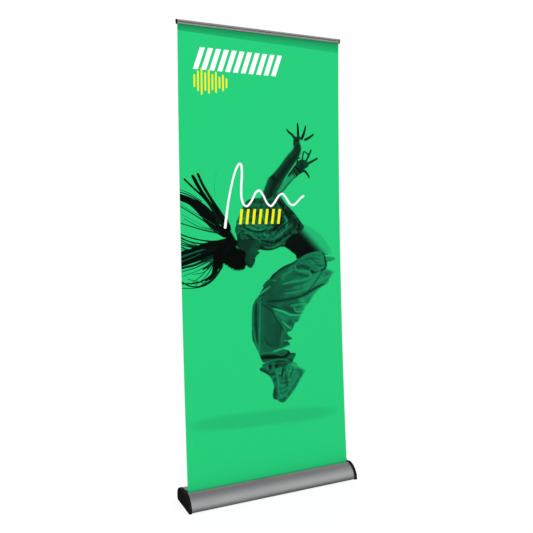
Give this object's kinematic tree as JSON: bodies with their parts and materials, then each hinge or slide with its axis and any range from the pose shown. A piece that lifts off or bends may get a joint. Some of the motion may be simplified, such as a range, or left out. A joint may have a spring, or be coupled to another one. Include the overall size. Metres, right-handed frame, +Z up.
{
  "type": "roll-up banner stand",
  "caption": "Free-standing roll-up banner stand: printed sheet drawn from a sprung roller in a floor cassette and held up by a clamp rail on a telescopic pole.",
  "frame": {"origin": "on the floor, under the middle of the erected stand's outer box", "axes": "+X to the right of somebody facing the print, the print faces -Y, +Z up"},
  "size_m": [0.834, 0.1965, 2.0897],
  "materials": {
    "anodised_aluminium": "satin silver anodised",
    "anodised_tube": "silver anodised tube",
    "black_plastic": "moulded, satin",
    "nylon": "moulded nylon",
    "rubber": "matt rubber",
    "steel": "drawn bright steel",
    "black_steel": "black oxide",
    "printed_film": null,
    "leader_film": "plain grey film"
  },
  "bodies": {
    "base": {"rear_housing": "anodised_aluminium", "front_cover": "anodised_aluminium", "end_cap_left": "black_plastic", "end_cap_right": "black_plastic", "end_cap_screw_left_1": "black_steel", "end_cap_screw_left_2": "black_steel", "end_cap_screw_left_3": "black_steel", "end_cap_screw_left_4": "black_steel", "end_cap_screw_right_1": "black_steel", "end_cap_screw_right_2": "black_steel", "end_cap_screw_right_3": "black_steel", "end_cap_screw_right_4": "black_steel", "foot_pad_front_left": "rubber", "foot_pad_front_right": "rubber", "foot_pad_rear_left": "rubber", "foot_pad_rear_right": "rubber", "slot_edge_strip": "black_plastic", "pole_socket": "black_plastic", "socket_screw_left": "black_steel", "socket_screw_right": "black_steel", "spring_shaft": "steel", "torsion_spring": "steel", "spring_anchor": "nylon", "thrust_washer_left": "nylon", "thrust_washer_right": "nylon", "idler_axle": "steel", "leader_film": "leader_film", "pole_foot_plug": "black_plastic", "pole_lower": "anodised_tube"},
    "roller": {"roller_tube": "anodised_tube", "roller_plug_left": "nylon", "roller_plug_right": "nylon", "wound_leader": "leader_film"},
    "lower_collar": {"lock_collar_lower": "black_plastic"},
    "middle_tube": {"pole_middle": "anodised_tube", "pole_middle_glide": "nylon"},
    "upper_collar": {"lock_collar_upper": "black_plastic"},
    "upper_tube": {"pole_upper": "anodised_tube", "pole_upper_glide": "nylon", "pole_tip": "black_plastic"},
    "rail": {"rail_back": "anodised_aluminium", "rail_end_cap_left": "black_plastic", "rail_end_cap_right": "black_plastic", "rail_pole_clip": "black_plastic", "clip_screw_left": "black_steel", "clip_screw_right": "black_steel", "banner_graphic": "printed_film"},
    "rail_jaw": {"rail_front_jaw": "anodised_aluminium", "rail_grip_strip": "rubber"}
  },
  "joints": [
    {"name": "middle_tube_slide", "type": "slide", "parent": "base", "child": "middle_tube", "axis": [0, -0.0244, -0.9997], "range_m": [0, 0.6]},
    {"name": "upper_tube_slide", "type": "slide", "parent": "middle_tube", "child": "upper_tube", "axis": [0, -0.0244, -0.9997], "range_m": [0, 0.6], "deforming": ["banner_graphic"]},
    {"name": "lower_collar_twist", "type": "hinge", "parent": "base", "child": "lower_collar", "pos_m": [0, 0.05677, 0.72479], "axis": [0, 0.0244, 0.9997], "range_deg": [0, 60]},
    {"name": "upper_collar_twist", "type": "hinge", "parent": "middle_tube", "child": "upper_collar", "pos_m": [0, 0.07237, 1.3646], "axis": [0, 0.0244, 0.9997], "range_deg": [0, 60]},
    {"name": "roller_spin", "type": "hinge", "parent": "base", "child": "roller", "pos_m": [0, -0.0118, 0.032], "axis": [1, 0, 0], "range_deg": [0, 3600]},
    {"name": "rail_lift", "type": "slide", "parent": "upper_tube", "child": "rail", "axis": [0, 0.0244, 0.9997], "range_m": [0, 0.016]},
    {"name": "rail_jaw_hinge", "type": "hinge", "parent": "rail", "child": "rail_jaw", "pos_m": [0, 0.0697, 2.0825], "axis": [-1, 0, 0], "range_deg": [0, 75]}
  ],
  "couplings": [
    {"joint": "middle_tube_slide", "follows": "upper_tube_slide", "ratio": 1},
    {"joint": "roller_spin", "follows": "upper_tube_slide", "rad_per_m": 100}
  ]
}
